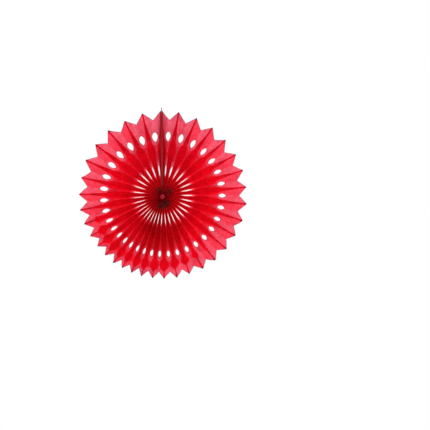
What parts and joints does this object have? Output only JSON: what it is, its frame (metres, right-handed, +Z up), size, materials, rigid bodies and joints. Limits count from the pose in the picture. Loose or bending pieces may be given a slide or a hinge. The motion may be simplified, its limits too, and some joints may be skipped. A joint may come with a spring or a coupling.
{
  "type": "paper fan rosette",
  "caption": "Round pleated tissue rosette with a toothed rim, die-cut oval holes and narrow slits round the hub, hung from a small thread loop above its seam.",
  "frame": {"origin": "inside top of the hanging loop, where a hook or pin bears", "axes": "+Z up along the seam, +Y from the front of the rosette to its back along the hub axis, +X to the right as seen from the front"},
  "size_m": [0.2996, 0.025, 0.306],
  "materials": {
    "tissue": "thin red tissue paper, matt, lets light through",
    "card": "matt red board with brown edges",
    "adhesive": "pale double-sided tape",
    "red_thread": "twisted red cotton",
    "dark_thread": "twisted dark cotton"
  },
  "bodies": {
    "root": {"pleated_tissue": "tissue", "end_card_left": "card", "end_card_right": "card", "adhesive_strip": "adhesive", "binding_thread": "red_thread", "hanging_thread": "dark_thread"}
  },
  "joints": []
}
